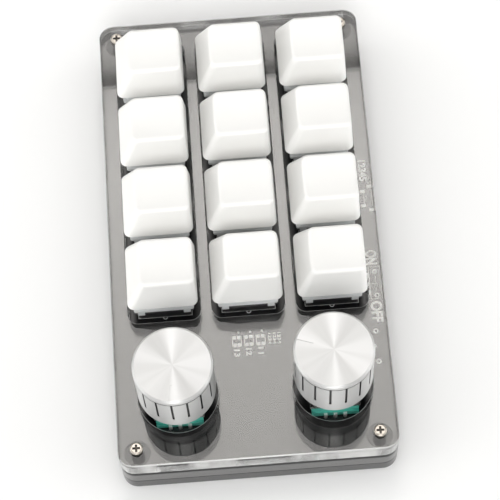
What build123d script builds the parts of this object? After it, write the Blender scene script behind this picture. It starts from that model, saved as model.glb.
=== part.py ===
from build123d import *
import math
import os

# Outline of the stack: base tray, circuit board and clear cover share it
body_width = 71.2
body_length = 127.9
body_corner = 4.0

# Heights of the stack, from the feet up
foot_proud = 1.0
base_height = 10.4
board_thickness = 1.6
cover_thickness = 5.0

# Base tray
tray_wall = 2.0
tray_floor = 1.8
tray_bottom_round = 1.2
tray_seam_height = 5.4
tray_seam_width = 0.3
tray_seam_depth = 0.25
boss_diameter = 6.2
boss_hole_clearance = 0.2
pillar_diameter = 4.0
pilot_depth = 8.0

# Feet
foot_diameter = 9.0
foot_recess = 0.6
foot_inset = 9.5
foot_round = 0.4

# Clear cover
cover_chamfer = 0.62
slot_clearance = 0.35
slot_end = 10.3
slot_corner = 2.5
knob_hole_clearance = 0.3

# Cover screws
screw_inset = 4.8
screw_diameter = 2.0
screw_length = 11.0
screw_head_diameter = 3.4
screw_head_height = 1.2
screw_head_round = 0.5
screw_recess_width = 0.6
screw_recess_length = 2.0
screw_recess_depth = 0.7
screw_clearance = 0.15
thread_clearance = 0.02

# Key field: columns along X, and as many rows along Y as the length leaves behind the knobs
key_columns = 3
column_pitch = 21.87
row_pitch = 20.49
first_row_inset = 17.315
knob_row_room = 26.0

# Key caps, sculpted towards +X
cap_base = 18.1
cap_base_corner = 1.8
cap_top_depth = 13.6
cap_top_width = 12.8
cap_top_corner = 1.6
cap_top_shift = 1.8
cap_height = 9.3
cap_wall = 1.3
cap_ceiling = 1.7
cap_dish = 0.6
cap_edge_round = 1.0
cap_rim_clearance = 0.5
cap_boss_diameter = 5.4

# Switch stem and its cross post
key_travel = 4.0
stem_depth = 6.6
stem_width = 5.8
stem_clearance = 0.2
stem_top_above_board = 12.0
stem_shoulder_depth = 8.6
stem_shoulder_height = 1.2
stem_pin_diameter = 1.6
stem_pin_length = 4.6
cross_length = 4.0
cross_thickness = 1.2
cross_height = 3.5
cross_clearance = 0.02

# Switch housing
housing_size = 14.0
housing_corner = 0.8
housing_depth = 5.0
flange_size = 15.6
flange_height = 1.0
flange_corner = 0.6
housing_floor = 1.4
cavity_size = 10.6
cavity_top_size = 9.6
housing_rim_height = 0.9
housing_shoulder_size = 14.4
housing_top_size = 10.6
housing_top_above_board = 11.6
ceiling_above_board = 9.9
leg_width = 1.8
leg_thickness = 0.7
leg_offset = 5.95
leg_bottom_above_board = 3.9
leg_clearance = 0.05
post_diameter = 3.9
post_length = 3.0
peg_diameter = 1.6
peg_offset = 5.08
board_hole_clearance = 0.1
guide_diameter = 2.9
guide_height = 2.8
guide_clearance = 0.15

# Return spring, drawn as the sleeve that its coils fill
spring_outer_diameter = 4.4
spring_wire = 0.35

# Switch contacts
contact_thickness = 0.25
contact_pin_width = 0.9
contact_leaf_width = 1.6
contact_leaf_height = 3.4
contact_clearance = 0.1
contact_a_x = 2.54
contact_a_y = 3.81
contact_b_x = 5.08
contact_b_y = -2.54
contact_length = 3.0

# Rotary encoders
knob_spacing = 39.7
knob_field_x = 0.25
knob_inset = 18.8
encoder_width = 12.0
encoder_length = 13.2
encoder_ledge_length = 14.2
encoder_ledge_height = 2.2
encoder_body_height = 4.6
encoder_bore = 7.6
encoder_floor = 1.2
frame_plate = 1.2
lug_thickness = 0.4
lug_width = 6.0
lug_tongue_width = 2.0
lug_tongue_length = 2.2
bushing_diameter = 7.0
bushing_height = 5.6
shaft_diameter = 6.0
shaft_running_clearance = 0.05
shaft_collar_diameter = 7.0
shaft_collar_height = 1.2
shaft_collar_play = 0.2
shaft_flat_depth = 1.5
shaft_flat_length = 9.0
plunger_diameter = 6.4
plunger_clearance = 0.1
push_travel = 0.5
encoder_pin_width = 0.9
encoder_pin_thickness = 0.4
encoder_pin_pitch = 2.5
encoder_pin_row = 7.4
encoder_pin_height = 1.8
encoder_pin_length = 3.0

# Knobs
knob_diameter = 20.0
knob_height = 17.2
knob_bushing_gap = 1.2
knob_wall = 1.6
knob_roof = 3.2
knob_boss_diameter = 10.0
knob_boss_setback = 3.0
knob_chamfer = 0.5
knob_foot_chamfer = 0.5
knob_band_height = 1.3
knob_rim_height = 4.7
knob_band_groove = 0.5
knob_band_groove_depth = 0.35
knob_flutes = 16
knob_flute_width = 0.55
knob_flute_depth = 0.45
knob_mark_width = 0.5
knob_mark_length = 4.2
knob_mark_depth = 0.2
left_knob_angle = -97.0
right_knob_angle = 160.75
right_knob_lift = 2.3
left_flute_phase_share = 0.07
right_flute_phase_share = 0.42
knob_fit_clearance = 0.02

# Power switch on the right wall, under the board
power_row_offset = 1.965
power_body_width = 4.0
power_body_length = 9.0
power_body_height = 3.5
power_wall_gap = 0.2
power_travel = 2.0
power_nub_width = 1.8
power_nub_height = 1.5
power_nub_setback = 0.2
power_scoop_length = 9.0
power_scoop_height = 4.4
power_scoop_depth = 0.9
power_slider_plate = 1.2
power_slider_length = 4.2
power_clearance = 0.2
power_pin_width = 0.7
power_pin_pitch = 2.4

# Charging and data socket on the right wall, under the board
socket_inset = 27.95
socket_width = 8.9
socket_height = 3.2
socket_depth = 7.3
socket_wall = 0.3
socket_clearance = 0.3
socket_recess = 0.4
tongue_width = 6.7
tongue_thickness = 0.7
tongue_depth = 5.0
tongue_root_depth = 1.2

# Battery cell and controller chip
cell_depth = 34.0
cell_width = 50.0
cell_thickness = 5.0
cell_round = 1.0
chip_size = 7.0
chip_thickness = 1.2
chip_knob_offset = 14.15

# One overrun serves every through cut
overrun = 1.0

# Levels that the stack gives
tray_bottom = foot_proud
tray_top = tray_bottom + base_height
board_bottom = tray_top
board_top = board_bottom + board_thickness
cover_bottom = board_top
cover_top = cover_bottom + cover_thickness
tray_floor_top = tray_bottom + tray_floor
half_width = body_width / 2
half_length = body_length / 2
inner_wall_x = half_width - tray_wall
knob_field_y = knob_inset - half_length
first_row_y = half_length - first_row_inset
key_rows = 1 + int((first_row_y - knob_field_y - knob_row_room) / row_pitch)
last_row_y = first_row_y - (key_rows - 1) * row_pitch
key_field_y = (first_row_y + last_row_y) / 2
power_y = last_row_y - power_row_offset
socket_y = half_length - socket_inset
chip_y = knob_field_y + chip_knob_offset
cap_rim_above_board = housing_depth + flange_height + housing_rim_height + key_travel + cap_rim_clearance
knob_hole_diameter = knob_diameter + 2 * knob_hole_clearance
bushing_top = board_top + encoder_body_height + frame_plate + bushing_height
knob_bottom = bushing_top + knob_bushing_gap - knob_boss_setback

screw_places = [
    (side_x * (half_width - screw_inset), side_y * (half_length - screw_inset))
    for side_y in (-1, 1)
    for side_x in (-1, 1)
]
key_places = [
    ((column - (key_columns - 1) / 2) * column_pitch, first_row_y - row * row_pitch)
    for row in range(key_rows)
    for column in range(key_columns)
]
pillar_places = [
    (side_x * column_pitch / 2, key_field_y + side_y * row_pitch)
    for side_y in (-1, 1)
    for side_x in (-1, 1)
]
encoder_places = {
    "left": (knob_field_x - knob_spacing / 2, knob_field_y),
    "right": (knob_field_x + knob_spacing / 2, knob_field_y),
}
contact_seats = [
    Pos(contact_a_x, contact_a_y, 0),
    Pos(contact_b_x, contact_b_y, 0) * Rot(0, 0, 90),
]


def slab(width, length, corner, bottom, height):
    return Pos(0, 0, bottom) * extrude(RectangleRounded(width, length, corner), height)


def block(width, length, bottom, height):
    return Pos(0, 0, bottom) * extrude(Rectangle(width, length), height)


def disc(diameter, bottom, height):
    return Pos(0, 0, bottom) * extrude(Circle(diameter / 2), height)


def at_places(shape, places):
    return [Pos(x, y, 0) * shape for x, y in places]


def group(shapes):
    return Compound(children=[shape.solid() for shape in shapes])


# Base tray: open moulded box with screw bosses that pass through the board
def make_base_tray():
    tray = slab(body_width, body_length, body_corner, tray_bottom, base_height)
    tray = fillet(tray.faces().sort_by(Axis.Z)[0].edges(), tray_bottom_round)
    seam_bottom = tray_bottom + tray_seam_height
    seam = slab(body_width + overrun, body_length + overrun, body_corner, seam_bottom, tray_seam_width)
    tray -= seam - slab(body_width - 2 * tray_seam_depth, body_length - 2 * tray_seam_depth,
                        body_corner - tray_seam_depth, seam_bottom, tray_seam_width)
    inner_width = body_width - 2 * tray_wall
    inner_length = body_length - 2 * tray_wall
    tray -= slab(inner_width, inner_length, body_corner - tray_wall, tray_floor_top, base_height)
    boss_height = cover_bottom - tray_floor_top
    boss = disc(boss_diameter, tray_floor_top, boss_height)
    tray += at_places(boss, screw_places)
    pillar = disc(pillar_diameter, tray_floor_top, tray_top - tray_floor_top)
    tray += at_places(pillar, pillar_places)
    pilot = disc(screw_diameter + 2 * thread_clearance, cover_bottom - pilot_depth, pilot_depth + overrun)
    tray -= at_places(pilot, screw_places)
    tray -= at_places(disc(foot_diameter, tray_bottom - overrun, overrun + foot_recess), foot_places())
    socket_gate = block(2 * tray_wall, socket_width + 2 * socket_clearance,
                        board_bottom - socket_height - socket_clearance, socket_height + overrun)
    tray -= Pos(half_width - tray_wall / 2, socket_y, 0) * socket_gate
    nub_slot_length = power_nub_width + power_travel + 2 * power_clearance
    nub_slot_height = power_nub_height + 2 * power_clearance
    nub_slot_bottom = power_nub_middle() - nub_slot_height / 2
    nub_slot = block(2 * tray_wall, nub_slot_length, nub_slot_bottom, nub_slot_height)
    tray -= Pos(half_width - tray_wall / 2, power_y, 0) * nub_slot
    scoop_face = Plane(origin=(half_width, power_y, power_nub_middle()), x_dir=(0, 1, 0), z_dir=(-1, 0, 0))
    tray -= extrude(scoop_face * SlotOverall(power_scoop_length, power_scoop_height), power_scoop_depth)
    return tray


def foot_places():
    return [
        (side_x * (half_width - foot_inset), side_y * (half_length - foot_inset))
        for side_y in (-1, 1)
        for side_x in (-1, 1)
    ]


# Rubber feet: round pads pressed into shallow seats
def make_foot():
    foot = disc(foot_diameter, 0, foot_proud + foot_recess)
    return fillet(foot.faces().sort_by(Axis.Z)[0].edges(), foot_round)


# Circuit board: drilled for the switches, the encoders and the tray's bosses
def make_circuit_board():
    board = slab(body_width, body_length, body_corner, board_bottom, board_thickness)
    drill_bottom = board_bottom - overrun
    drill_height = board_thickness + 2 * overrun
    holes = at_places(disc(boss_diameter + 2 * boss_hole_clearance, drill_bottom, drill_height), screw_places)
    post_hole = disc(post_diameter + 2 * board_hole_clearance, drill_bottom, drill_height)
    peg_hole = disc(peg_diameter + 2 * board_hole_clearance, drill_bottom, drill_height)
    contact_hole = disc(contact_pin_width + 2 * contact_clearance, drill_bottom, drill_height)
    for x, y in key_places:
        holes += at_places(post_hole, [(x, y)])
        holes += at_places(peg_hole, [(x, y - peg_offset), (x, y + peg_offset)])
        holes += [Pos(x, y, 0) * seat * contact_hole for seat in contact_seats]
    pin_hole = disc(encoder_pin_width + 2 * board_hole_clearance, drill_bottom, drill_height)
    lug_hole = block(lug_thickness + 2 * board_hole_clearance, lug_tongue_width + 2 * board_hole_clearance,
                     drill_bottom, drill_height)
    for x, y in encoder_places.values():
        holes += at_places(pin_hole, [(x + dx, y + dy) for dx, dy in encoder_pin_places()])
        holes += at_places(lug_hole, [(x - lug_middle(), y), (x + lug_middle(), y)])
    power_hole = disc(power_pin_width + 2 * board_hole_clearance, drill_bottom, drill_height)
    holes += at_places(power_hole, power_pin_places())
    return board - holes


# Clear cover: thick sheet with one slot for each key column and a round hole for each knob
def make_clear_cover():
    cover = slab(body_width, body_length, body_corner, cover_bottom, cover_thickness)
    cover = chamfer(cover.faces().sort_by(Axis.Z)[-1].edges(), cover_chamfer)
    cut_bottom = cover_bottom - overrun
    cut_height = cover_thickness + 2 * overrun
    slot_width = cap_base + 2 * slot_clearance
    slot_length = (key_rows - 1) * row_pitch + 2 * slot_end
    slot = slab(slot_width, slot_length, slot_corner, cut_bottom, cut_height)
    columns = sorted({x for x, y in key_places})
    cover -= at_places(slot, [(x, key_field_y) for x in columns])
    cover -= at_places(disc(knob_hole_diameter, cut_bottom, cut_height), encoder_places.values())
    cover -= at_places(disc(screw_diameter + 2 * screw_clearance, cut_bottom, cut_height), screw_places)
    return cover


# Cover screw: pan head with a cross recess
def make_cover_screw():
    screw = disc(screw_head_diameter, cover_top, screw_head_height)
    screw = fillet(screw.faces().sort_by(Axis.Z)[-1].edges(), screw_head_round)
    screw += disc(screw_diameter, cover_top - screw_length, screw_length)
    recess_bottom = cover_top + screw_head_height - screw_recess_depth
    arm = block(screw_recess_length, screw_recess_width, recess_bottom, screw_recess_depth + overrun)
    return screw - [arm, Rot(0, 0, 90) * arm]


# Switch base: lower housing with its locating post, pegs and spring guide
def make_switch_base():
    base = slab(housing_size, housing_size, housing_corner, board_top, housing_depth)
    flange_bottom = board_top + housing_depth
    base += slab(flange_size, flange_size, flange_corner, flange_bottom, flange_height)
    cavity_height = housing_depth + flange_height - housing_floor
    base -= block(cavity_size, cavity_size, board_top + housing_floor, cavity_height + overrun)
    notch_depth = (flange_size - housing_size) / 2
    notch_width = leg_width + 2 * leg_clearance
    notch = block(notch_width, notch_depth + overrun, flange_bottom, flange_height + overrun)
    notch_y = housing_size / 2 + (notch_depth + overrun) / 2
    base -= at_places(notch, leg_places(notch_y))
    base += disc(post_diameter, board_top - post_length, post_length + housing_floor)
    peg = disc(peg_diameter, board_top - post_length, post_length + housing_floor)
    base += at_places(peg, [(0, -peg_offset), (0, peg_offset)])
    base += disc(guide_diameter, board_top + housing_floor, guide_height)
    pin_bore = stem_pin_diameter + 2 * guide_clearance
    base -= disc(pin_bore, board_top - post_length + housing_floor, post_length + guide_height + overrun)
    slot = block(contact_pin_width + 2 * contact_clearance, contact_thickness + 2 * contact_clearance,
                 board_top - overrun, housing_floor + 2 * overrun)
    return base - [seat * slot for seat in contact_seats]


def leg_places(y):
    return [(side_x * leg_offset, side_y * y) for side_y in (-1, 1) for side_x in (-1, 1)]


# Switch top: tapered upper housing with an opening for the stem and four latch legs
def make_switch_top():
    rim_bottom = board_top + housing_depth + flange_height
    top = slab(flange_size, flange_size, flange_corner, rim_bottom, housing_rim_height)
    shoulder = rim_bottom + housing_rim_height
    crown = board_top + housing_top_above_board
    top += loft([
        Pos(0, 0, shoulder) * RectangleRounded(housing_shoulder_size, housing_shoulder_size, housing_corner),
        Pos(0, 0, crown) * RectangleRounded(housing_top_size, housing_top_size, housing_corner),
    ], ruled=True)
    ceiling = board_top + ceiling_above_board
    top -= loft([
        Pos(0, 0, rim_bottom) * Rectangle(cavity_size, cavity_size),
        Pos(0, 0, ceiling) * Rectangle(cavity_top_size, cavity_top_size),
    ], ruled=True)
    top -= block(stem_depth + 2 * stem_clearance, stem_width + 2 * stem_clearance, ceiling - overrun,
                 crown - ceiling + 2 * overrun)
    leg_bottom = board_top + leg_bottom_above_board
    leg = block(leg_width, leg_thickness, leg_bottom, rim_bottom - leg_bottom)
    leg_y = housing_size / 2 + leg_clearance + leg_thickness / 2
    return top + at_places(leg, leg_places(leg_y))


# Switch stem: shoulder held under the top housing, block through it, cross post and guide pin
def make_stem():
    shoulder_top = board_top + ceiling_above_board
    shoulder_bottom = shoulder_top - stem_shoulder_height
    stem_top = board_top + stem_top_above_board
    stem = block(stem_shoulder_depth, stem_width, shoulder_bottom, stem_shoulder_height)
    stem += block(stem_depth, stem_width, shoulder_top, stem_top - shoulder_top)
    arm = block(cross_length, cross_thickness, stem_top, cross_height)
    stem += [arm, Rot(0, 0, 90) * arm]
    return stem + disc(stem_pin_diameter, shoulder_bottom - stem_pin_length, stem_pin_length)


# Return spring between the switch floor and the stem's shoulder
def make_key_spring():
    bottom = board_top + housing_floor
    height = board_top + ceiling_above_board - stem_shoulder_height - bottom
    inner = spring_outer_diameter - 2 * spring_wire
    return disc(spring_outer_diameter, bottom, height) - disc(inner, bottom, height)


# Contact: blade soldered in the board, with a leaf standing in the switch
def make_contact():
    pin_height = contact_length + housing_floor
    contact = block(contact_pin_width, contact_thickness, board_top - contact_length, pin_height)
    leaf_bottom = board_top + housing_floor
    return contact + block(contact_leaf_width, contact_thickness, leaf_bottom, contact_leaf_height)


# Outline of the key cap at one height, as a share of its whole height
def cap_section(height_share, inset):
    depth = cap_base + (cap_top_depth - cap_base) * height_share - 2 * inset
    width = cap_base + (cap_top_width - cap_base) * height_share - 2 * inset
    corner = cap_base_corner + (cap_top_corner - cap_base_corner) * height_share
    place = Pos(cap_top_shift * height_share, 0, cap_height * height_share)
    return place * RectangleRounded(depth, width, corner)


# Key cap: tapered shell with a dished top and a cross socket for the stem
def make_keycap():
    cap = loft([cap_section(0, 0), cap_section(1, 0)], ruled=True)
    half_top = cap_top_width / 2
    dish_radius = (half_top ** 2 + cap_dish ** 2) / (2 * cap_dish)
    dish = Rot(0, 90, 0) * Cylinder(dish_radius, 2 * cap_base)
    cap -= Pos(0, 0, cap_height - cap_dish + dish_radius) * dish
    rim_edges = cap.faces().filter_by(GeomType.CYLINDER).sort_by(SortBy.AREA)[-1].edges()
    cap = fillet(rim_edges, cap_edge_round)
    hollow_share = (cap_height - cap_dish - cap_ceiling) / cap_height
    cap -= loft([cap_section(0, cap_wall), cap_section(hollow_share, cap_wall)], ruled=True)
    boss_bottom = stem_top_above_board - cap_rim_above_board
    cap += disc(cap_boss_diameter, boss_bottom, cap_height * hollow_share - boss_bottom)
    arm = block(cross_length + 2 * cross_clearance, cross_thickness + 2 * cross_clearance,
                boss_bottom - overrun, cross_height + cross_clearance + overrun)
    cap -= [arm, Rot(0, 0, 90) * arm]
    return Pos(0, 0, board_top + cap_rim_above_board) * cap


# Encoder body: moulded block with a ledge that carries the pins and a bore for the plunger
def make_encoder_body():
    body = block(encoder_width, encoder_length, board_top, encoder_body_height)
    body += block(encoder_width, encoder_ledge_length, board_top, encoder_ledge_height)
    bore_height = encoder_body_height - encoder_floor
    return body - disc(encoder_bore, board_top + encoder_floor, bore_height + overrun)


def lug_middle():
    return encoder_width / 2 + lug_thickness / 2


# Encoder frame: pressed plate with a bushing, side lugs and tongues through the board
def make_encoder_frame():
    plate_bottom = board_top + encoder_body_height
    frame = block(encoder_width + 2 * lug_thickness, encoder_length, plate_bottom, frame_plate)
    frame += disc(bushing_diameter, plate_bottom + frame_plate, bushing_height)
    lug = block(lug_thickness, lug_width, board_top, encoder_body_height)
    tongue = block(lug_thickness, lug_tongue_width, board_top - lug_tongue_length, lug_tongue_length)
    for side in (-1, 1):
        frame += Pos(side * lug_middle(), 0, 0) * (lug + tongue)
    bore = shaft_diameter + 2 * shaft_running_clearance
    return frame - disc(bore, plate_bottom - overrun, frame_plate + bushing_height + 2 * overrun)


def encoder_pin_places():
    front = [(step * encoder_pin_pitch, -encoder_pin_row) for step in (-1, 0, 1)]
    back = [(step * encoder_pin_pitch, encoder_pin_row) for step in (-1, 1)]
    return front + back


# Encoder pin: flat blade that leaves the ledge and goes down through the board
def make_encoder_pin(side):
    blade = block(encoder_pin_width, encoder_pin_thickness, board_top - encoder_pin_length,
                  encoder_pin_length + encoder_pin_height)
    reach = encoder_pin_row - encoder_ledge_length / 2
    arm = block(encoder_pin_width, reach, board_top + encoder_pin_height - encoder_pin_thickness,
                encoder_pin_thickness)
    return blade + Pos(0, -side * reach / 2, 0) * arm


def make_encoder_pins():
    return [Pos(x, y, 0) * make_encoder_pin(math.copysign(1, y)) for x, y in encoder_pin_places()]


def collar_bottom():
    return board_top + encoder_body_height - shaft_collar_play - shaft_collar_height


# Plunger of the push switch, under the encoder's shaft
def make_plunger():
    seat = board_top + encoder_floor + push_travel + plunger_clearance
    return disc(plunger_diameter, seat, collar_bottom() - seat)


# Encoder shaft: round bar with a retaining collar and a flat for the knob
def make_shaft(angle):
    shaft_top = knob_bottom + knob_height - knob_roof
    shaft = disc(shaft_diameter, collar_bottom(), shaft_top - collar_bottom())
    shaft += disc(shaft_collar_diameter, collar_bottom(), shaft_collar_height)
    flat = block(shaft_flat_depth, shaft_diameter, shaft_top - shaft_flat_length, shaft_flat_length + overrun)
    shaft -= Pos((shaft_diameter - shaft_flat_depth) / 2, 0, 0) * flat
    return Rot(0, 0, angle) * shaft


# Knob: turned cup with a smooth band, a ring of flutes and a pointer groove on its face,
# pushed onto its shaft all the way or left a little higher
def make_knob(angle, flute_phase_share, lift):
    bottom = knob_bottom + lift
    top = bottom + knob_height
    knob = disc(knob_diameter, bottom, knob_height)
    knob = chamfer(knob.faces().sort_by(Axis.Z)[-1].edges(), knob_chamfer)
    knob = chamfer(knob.faces().sort_by(Axis.Z)[0].edges(), knob_foot_chamfer)
    band_bottom = top - knob_chamfer - knob_band_height
    ring = disc(knob_diameter + 2 * overrun, band_bottom - knob_band_groove, knob_band_groove)
    knob -= ring - disc(knob_diameter - 2 * knob_band_groove_depth, band_bottom - knob_band_groove,
                        knob_band_groove)
    flute_bottom = bottom + knob_rim_height
    flute = block(knob_flute_depth + overrun, knob_flute_width, flute_bottom, band_bottom - flute_bottom)
    flute = Pos(knob_diameter / 2 + (overrun - knob_flute_depth) / 2, 0, 0) * flute
    turns = [(step + flute_phase_share) * 360 / knob_flutes for step in range(knob_flutes)]
    knob -= [Rot(0, 0, turn) * flute for turn in turns]
    cup_height = knob_height - knob_roof
    cup = disc(knob_diameter - 2 * knob_wall, bottom - overrun, cup_height + overrun)
    knob -= cup - disc(knob_boss_diameter, bottom + knob_boss_setback, cup_height - knob_boss_setback)
    knob -= disc(shaft_diameter + 2 * knob_fit_clearance, bottom - overrun, cup_height + overrun)
    key_bottom = top - knob_roof - shaft_flat_length + knob_fit_clearance
    key_flat = block(shaft_flat_depth - knob_fit_clearance, shaft_diameter, key_bottom,
                     shaft_flat_length - knob_fit_clearance)
    key_x = (shaft_diameter - shaft_flat_depth + knob_fit_clearance) / 2 + knob_fit_clearance
    knob += Pos(key_x, 0, 0) * key_flat
    mark = block(knob_mark_length, knob_mark_width, top - knob_mark_depth, knob_mark_depth + overrun)
    knob -= Pos(knob_diameter / 2 - knob_chamfer - knob_mark_length / 2, 0, 0) * mark
    return Rot(0, 0, angle) * knob


def power_nub_middle():
    return board_bottom - power_body_height / 2


def power_body_x():
    return inner_wall_x - power_wall_gap - power_body_width / 2


def power_pin_places():
    return [(power_body_x(), power_y + step * power_pin_pitch) for step in (-1, 0, 1)]


# Power switch body: closed shell with a window for its slider and three pins through the board
def make_power_body():
    body = block(power_body_width, power_body_length, board_bottom - power_body_height, power_body_height)
    room_length = power_slider_length + power_travel + 2 * power_clearance
    room_height = power_nub_height + 2 * power_clearance
    room_depth = power_slider_plate + power_clearance
    room = block(room_depth + overrun, room_length, power_nub_middle() - room_height / 2, room_height)
    room_x = power_body_width / 2 - (room_depth - overrun) / 2
    body -= Pos(room_x, 0, 0) * room
    body = Pos(power_body_x(), power_y, 0) * body
    pin = disc(power_pin_width, board_bottom, board_thickness)
    return body + at_places(pin, power_pin_places())


# Power slider: plate in the switch with a nub that reaches out through the wall
def make_power_slider():
    plate_x = power_body_x() + power_body_width / 2 - power_slider_plate
    rest_y = power_y - power_travel / 2
    nub_bottom = power_nub_middle() - power_nub_height / 2
    plate = block(power_slider_plate, power_slider_length, nub_bottom, power_nub_height)
    reach = half_width - power_nub_setback - plate_x
    nub = block(reach, power_nub_width, nub_bottom, power_nub_height)
    slider = Pos(plate_x + power_slider_plate / 2, rest_y, 0) * plate
    return slider + Pos(plate_x + reach / 2, rest_y, 0) * nub


# Socket shell: seamless oval sleeve with a closed back
def make_usb_socket():
    middle = board_bottom - socket_height / 2
    mouth = half_width - socket_recess
    plane = Plane(origin=(mouth, socket_y, middle), x_dir=(0, 1, 0), z_dir=(-1, 0, 0))
    corner_share = 0.49
    outer = RectangleRounded(socket_width, socket_height, socket_height * corner_share)
    hole_width = socket_width - 2 * socket_wall
    hole_height = socket_height - 2 * socket_wall
    inner = RectangleRounded(hole_width, hole_height, hole_height * corner_share)
    shell = extrude(plane * outer, socket_depth)
    return shell - extrude(plane * inner, socket_depth - socket_wall)


# Socket tongue: flat contact carrier inside the sleeve
def make_usb_tongue():
    middle = board_bottom - socket_height / 2
    back = half_width - socket_recess - socket_depth + socket_wall
    root = block(tongue_root_depth, tongue_width, middle - tongue_thickness, 2 * tongue_thickness)
    blade = block(tongue_depth, tongue_width, middle - tongue_thickness / 2, tongue_thickness)
    tongue = Pos(back + tongue_root_depth / 2, socket_y, 0) * root
    return tongue + Pos(back + tongue_depth / 2, socket_y, 0) * blade


# Battery cell on the tray's floor
def make_battery_cell():
    cell = Pos(0, key_field_y, 0) * block(cell_width, cell_depth, tray_floor_top, cell_thickness)
    return fillet(cell.edges().filter_by(Axis.X), cell_round)


# Controller chip under the board
def make_controller_chip():
    return Pos(0, chip_y, 0) * block(chip_size, chip_size, board_bottom - chip_thickness, chip_thickness)


def make_parts():
    keycap = make_keycap()
    stem = make_stem()
    contact = make_contact()
    contacts = [Pos(x, y, 0) * seat * contact for x, y in key_places for seat in contact_seats]
    parts = {
        "base_tray": make_base_tray(),
        "rubber_feet": group(at_places(make_foot(), foot_places())),
        "circuit_board": make_circuit_board(),
        "clear_cover": make_clear_cover(),
        "cover_screws": group(at_places(make_cover_screw(), screw_places)),
        "switch_bases": group(at_places(make_switch_base(), key_places)),
        "switch_tops": group(at_places(make_switch_top(), key_places)),
        "switch_contacts": group(contacts),
        "key_springs": group(at_places(make_key_spring(), key_places)),
        "power_switch": make_power_body(),
        "power_slider": make_power_slider(),
        "usb_socket": make_usb_socket(),
        "usb_tongue": make_usb_tongue(),
        "battery_cell": make_battery_cell(),
        "controller_chip": make_controller_chip(),
    }
    for number, (x, y) in enumerate(key_places, start=1):
        parts[f"keycap_{number}"] = Pos(x, y, 0) * keycap
        parts[f"key_stem_{number}"] = Pos(x, y, 0) * stem
    knob_angles = {"left": left_knob_angle, "right": right_knob_angle}
    knob_lifts = {"left": 0, "right": right_knob_lift}
    flute_phase_shares = {"left": left_flute_phase_share, "right": right_flute_phase_share}
    for side, (x, y) in encoder_places.items():
        place = Pos(x, y, 0)
        parts[f"{side}_encoder_body"] = place * make_encoder_body()
        parts[f"{side}_encoder_frame"] = place * make_encoder_frame()
        parts[f"{side}_encoder_pins"] = group([place * pin for pin in make_encoder_pins()])
        parts[f"{side}_push_plunger"] = place * make_plunger()
        parts[f"{side}_encoder_shaft"] = place * make_shaft(knob_angles[side])
        parts[f"{side}_knob"] = place * make_knob(
            knob_angles[side], flute_phase_shares[side], knob_lifts[side])
    return parts


os.makedirs("parts", exist_ok=True)
for name, shape in make_parts().items():
    export_step(shape, f"parts/{name}.step")
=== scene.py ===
import math

import bmesh
import bpy
from mathutils import Matrix, Vector


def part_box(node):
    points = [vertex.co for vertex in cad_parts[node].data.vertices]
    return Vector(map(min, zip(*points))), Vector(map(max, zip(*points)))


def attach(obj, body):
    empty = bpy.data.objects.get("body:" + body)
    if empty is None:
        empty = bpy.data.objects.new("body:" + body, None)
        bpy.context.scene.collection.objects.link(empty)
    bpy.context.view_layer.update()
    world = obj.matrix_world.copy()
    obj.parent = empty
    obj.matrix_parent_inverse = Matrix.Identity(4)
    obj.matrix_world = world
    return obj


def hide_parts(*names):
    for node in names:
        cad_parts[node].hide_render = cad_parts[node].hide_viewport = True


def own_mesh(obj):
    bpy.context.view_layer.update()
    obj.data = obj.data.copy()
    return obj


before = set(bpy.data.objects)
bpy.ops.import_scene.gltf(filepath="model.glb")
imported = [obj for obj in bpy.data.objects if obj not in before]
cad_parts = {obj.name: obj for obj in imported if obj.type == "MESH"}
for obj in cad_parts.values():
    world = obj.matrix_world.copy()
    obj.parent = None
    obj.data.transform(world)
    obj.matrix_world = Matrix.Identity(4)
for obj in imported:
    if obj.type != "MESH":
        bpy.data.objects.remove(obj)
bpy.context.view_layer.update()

# Base tray: a glossy moulded box, open at the top, that carries the board on its rim. The wall
# is a lighter grey above the seam line and black below it; the boss tops, where the sheet is
# clamped, are matt black without a sheen.
MM = 0.001
tray_low, tray_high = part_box("base_tray")
seam_rise = 5.55 * MM
boss_drop = 0.8 * MM
seam_height = tray_low.z + seam_rise
boss_height = tray_high.z - boss_drop
edge_blur = 0.05 * MM


def new_group(name, inputs, outputs):
    """Empty shader group with float inputs and float outputs."""
    group = bpy.data.node_groups.new(name, "ShaderNodeTree")
    for label, value in inputs.items():
        socket = group.interface.new_socket(label, in_out="INPUT", socket_type="NodeSocketFloat")
        socket.default_value = value
    for label in outputs:
        group.interface.new_socket(label, in_out="OUTPUT", socket_type="NodeSocketFloat")
    return group, group.nodes.new("NodeGroupInput"), group.nodes.new("NodeGroupOutput")


def make_moulded_grain():
    """Fine moulded grain as a height, with a broad uneven sheen as a roughness and a shade."""
    group, given, result = new_group(
        "moulded_grain",
        {"Grain Scale": 6000.0, "Sheen Scale": 60.0, "Rough Low": 0.3, "Rough High": 0.4},
        ("Height", "Roughness", "Shade"),
    )
    place = group.nodes.new("ShaderNodeTexCoord")
    grain = group.nodes.new("ShaderNodeTexNoise")
    sheen = group.nodes.new("ShaderNodeTexNoise")
    spread = group.nodes.new("ShaderNodeMapRange")
    for noise, scale in ((grain, "Grain Scale"), (sheen, "Sheen Scale")):
        group.links.new(place.outputs["Object"], noise.inputs["Vector"])
        group.links.new(given.outputs[scale], noise.inputs["Scale"])
    group.links.new(sheen.outputs["Fac"], spread.inputs["Value"])
    group.links.new(given.outputs["Rough Low"], spread.inputs["To Min"])
    group.links.new(given.outputs["Rough High"], spread.inputs["To Max"])
    group.links.new(grain.outputs["Fac"], result.inputs["Height"])
    group.links.new(spread.outputs["Result"], result.inputs["Roughness"])
    group.links.new(sheen.outputs["Fac"], result.inputs["Shade"])
    return group


moulded_grain = make_moulded_grain()


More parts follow.
